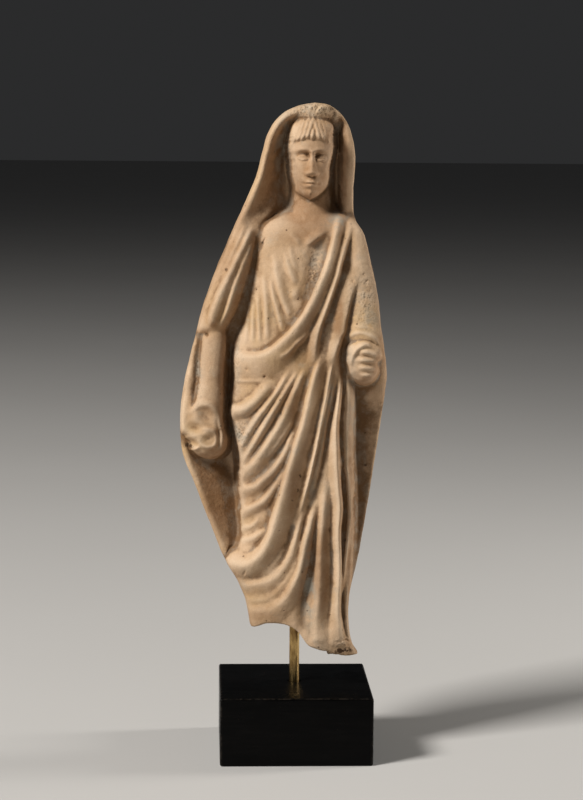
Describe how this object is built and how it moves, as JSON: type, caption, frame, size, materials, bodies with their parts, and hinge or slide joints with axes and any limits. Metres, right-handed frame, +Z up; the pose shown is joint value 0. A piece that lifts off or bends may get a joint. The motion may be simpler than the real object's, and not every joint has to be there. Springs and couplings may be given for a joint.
{
  "type": "veiled roman statuette",
  "caption": "Moulded terracotta statuette of a standing figure with a mantle drawn over the head, held up by a brass rod in a black wooden block.",
  "frame": {"origin": "centre of the display block's underside", "axes": "+Z up, -Y the way the figure faces, +X towards the viewer's right"},
  "size_m": [0.0815, 0.06, 0.2577],
  "materials": {
    "terracotta": "unglazed pale buff fired clay with grey deposits in the folds",
    "brass_rod": "dull brushed brass",
    "black_wood": "black stained wood, satin, faint grain"
  },
  "bodies": {
    "root": {"statuette": "terracotta", "mount_rod": "brass_rod", "display_block": "black_wood"}
  },
  "joints": []
}
